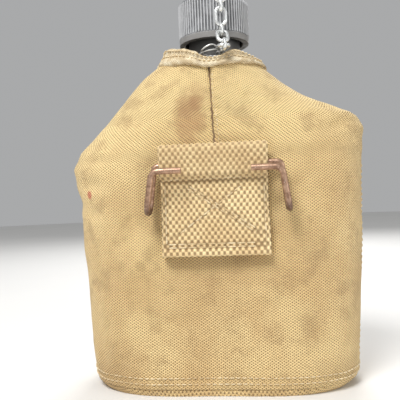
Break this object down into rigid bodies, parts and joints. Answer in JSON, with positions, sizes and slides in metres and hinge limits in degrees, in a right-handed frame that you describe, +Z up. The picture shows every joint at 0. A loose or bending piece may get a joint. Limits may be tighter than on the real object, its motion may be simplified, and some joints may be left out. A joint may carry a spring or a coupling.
{
  "type": "canteen",
  "caption": "Kidney-shaped metal field canteen in a canvas cover with shoulder flaps, ribbed screw cap on a chain and a wire belt hook.",
  "frame": {"origin": "on the ground, under the axis of the neck", "axes": "+Z up along the neck, -Y the belt-hook side, +Y the flap side"},
  "size_m": [0.1691, 0.0999, 0.2323],
  "materials": {
    "canteen_metal": "dull, pressed",
    "cap_plastic": "moulded, weathered",
    "gasket_rubber": "matt",
    "chain_metal": "zinc coated",
    "tie_wire": "dull",
    "canvas": "faded cotton duck",
    "binding": "rolled cotton edge",
    "webbing": "coarse cotton webbing",
    "felt": "wool felt",
    "snap_metal": "blackened, worn",
    "hook_metal": "oxidised"
  },
  "bodies": {
    "canteen": {"canteen_lower_shell": "canteen_metal", "canteen_upper_shell": "canteen_metal", "canteen_neck": "canteen_metal", "neck_tie_wire": "tie_wire", "cover_back_panel": "canvas", "cover_front_panel": "canvas", "cover_bottom_gusset": "canvas", "front_edge_binding": "binding", "lining_back": "felt", "lining_front": "felt", "collar_back": "binding", "stud_left": "snap_metal", "stud_washer_left": "snap_metal", "stud_right": "snap_metal", "stud_washer_right": "snap_metal", "hanger_webbing": "webbing"},
    "cap_eye_swivel": {"cap_eye": "chain_metal", "cap_eye_washer": "chain_metal"},
    "cap": {"cap_shell": "cap_plastic", "cap_gasket": "gasket_rubber"},
    "right_flap": {"flap_right": "canvas", "collar_right": "binding", "socket_right": "snap_metal", "socket_plate_right": "snap_metal"},
    "left_flap": {"flap_left": "canvas", "collar_left": "binding", "socket_left": "snap_metal", "socket_plate_left": "snap_metal"},
    "hook": {"hanger_hook": "hook_metal"},
    "link_1": {"chain_link_1": "chain_metal"},
    "link_2": {"chain_link_2": "chain_metal"},
    "link_3": {"chain_link_3": "chain_metal"},
    "link_4": {"chain_link_4": "chain_metal"},
    "link_5": {"chain_link_5": "chain_metal"},
    "link_6": {"chain_link_6": "chain_metal"}
  },
  "joints": [
    {"name": "cap_lift", "type": "slide", "parent": "canteen", "child": "cap_eye_swivel", "axis": [0, 0, 1], "range_m": [0, 0.00961]},
    {"name": "cap_turn", "type": "hinge", "parent": "cap_eye_swivel", "child": "cap", "pos_m": [0, 0, 0.21], "axis": [0, 0, 1], "range_deg": [0, 1080]},
    {"name": "chain_1", "type": "hinge", "parent": "cap_eye_swivel", "child": "link_1", "pos_m": [0.00016, -0.00068, 0.2289], "axis": [-0.9744, -0.225, 0], "range_deg": [0, 50]},
    {"name": "chain_2", "type": "hinge", "parent": "link_1", "child": "link_2", "pos_m": [0.00309, -0.0134, 0.2289], "axis": [-0.9744, -0.225, 0], "range_deg": [0, 40]},
    {"name": "chain_3", "type": "hinge", "parent": "link_2", "child": "link_3", "pos_m": [0.00594, -0.02574, 0.22574], "axis": [-0.9744, -0.225, 0], "range_deg": [0, 45]},
    {"name": "chain_4", "type": "hinge", "parent": "link_3", "child": "link_4", "pos_m": [0.00594, -0.02574, 0.21269], "axis": [-0.9744, -0.225, 0], "range_deg": [0, 35]},
    {"name": "chain_5", "type": "hinge", "parent": "link_4", "child": "link_5", "pos_m": [0.00594, -0.02574, 0.19964], "axis": [-0.9744, -0.225, 0], "range_deg": [0, 12]},
    {"name": "chain_6", "type": "hinge", "parent": "link_5", "child": "link_6", "pos_m": [0.00783, -0.03391, 0.18965], "axis": [0.9744, 0.225, 0], "range_deg": [-3, 10]},
    {"name": "flap_right_open", "type": "hinge", "parent": "canteen", "child": "right_flap", "pos_m": [0.056, 0.016, 0.16174], "axis": [0.7672, 0, -0.6414], "range_deg": [0, 110]},
    {"name": "flap_left_open", "type": "hinge", "parent": "canteen", "child": "left_flap", "pos_m": [-0.056, 0.016, 0.16174], "axis": [0.7672, 0, 0.6414], "range_deg": [0, 110]},
    {"name": "hook_swing", "type": "hinge", "parent": "canteen", "child": "hook", "pos_m": [0.002, -0.04445, 0.1245], "axis": [-1, 0, 0], "range_deg": [0, 40]}
  ],
  "couplings": [
    {"joint": "cap_lift", "follows": "cap_turn", "m_per_rad": 0.0005093}
  ]
}
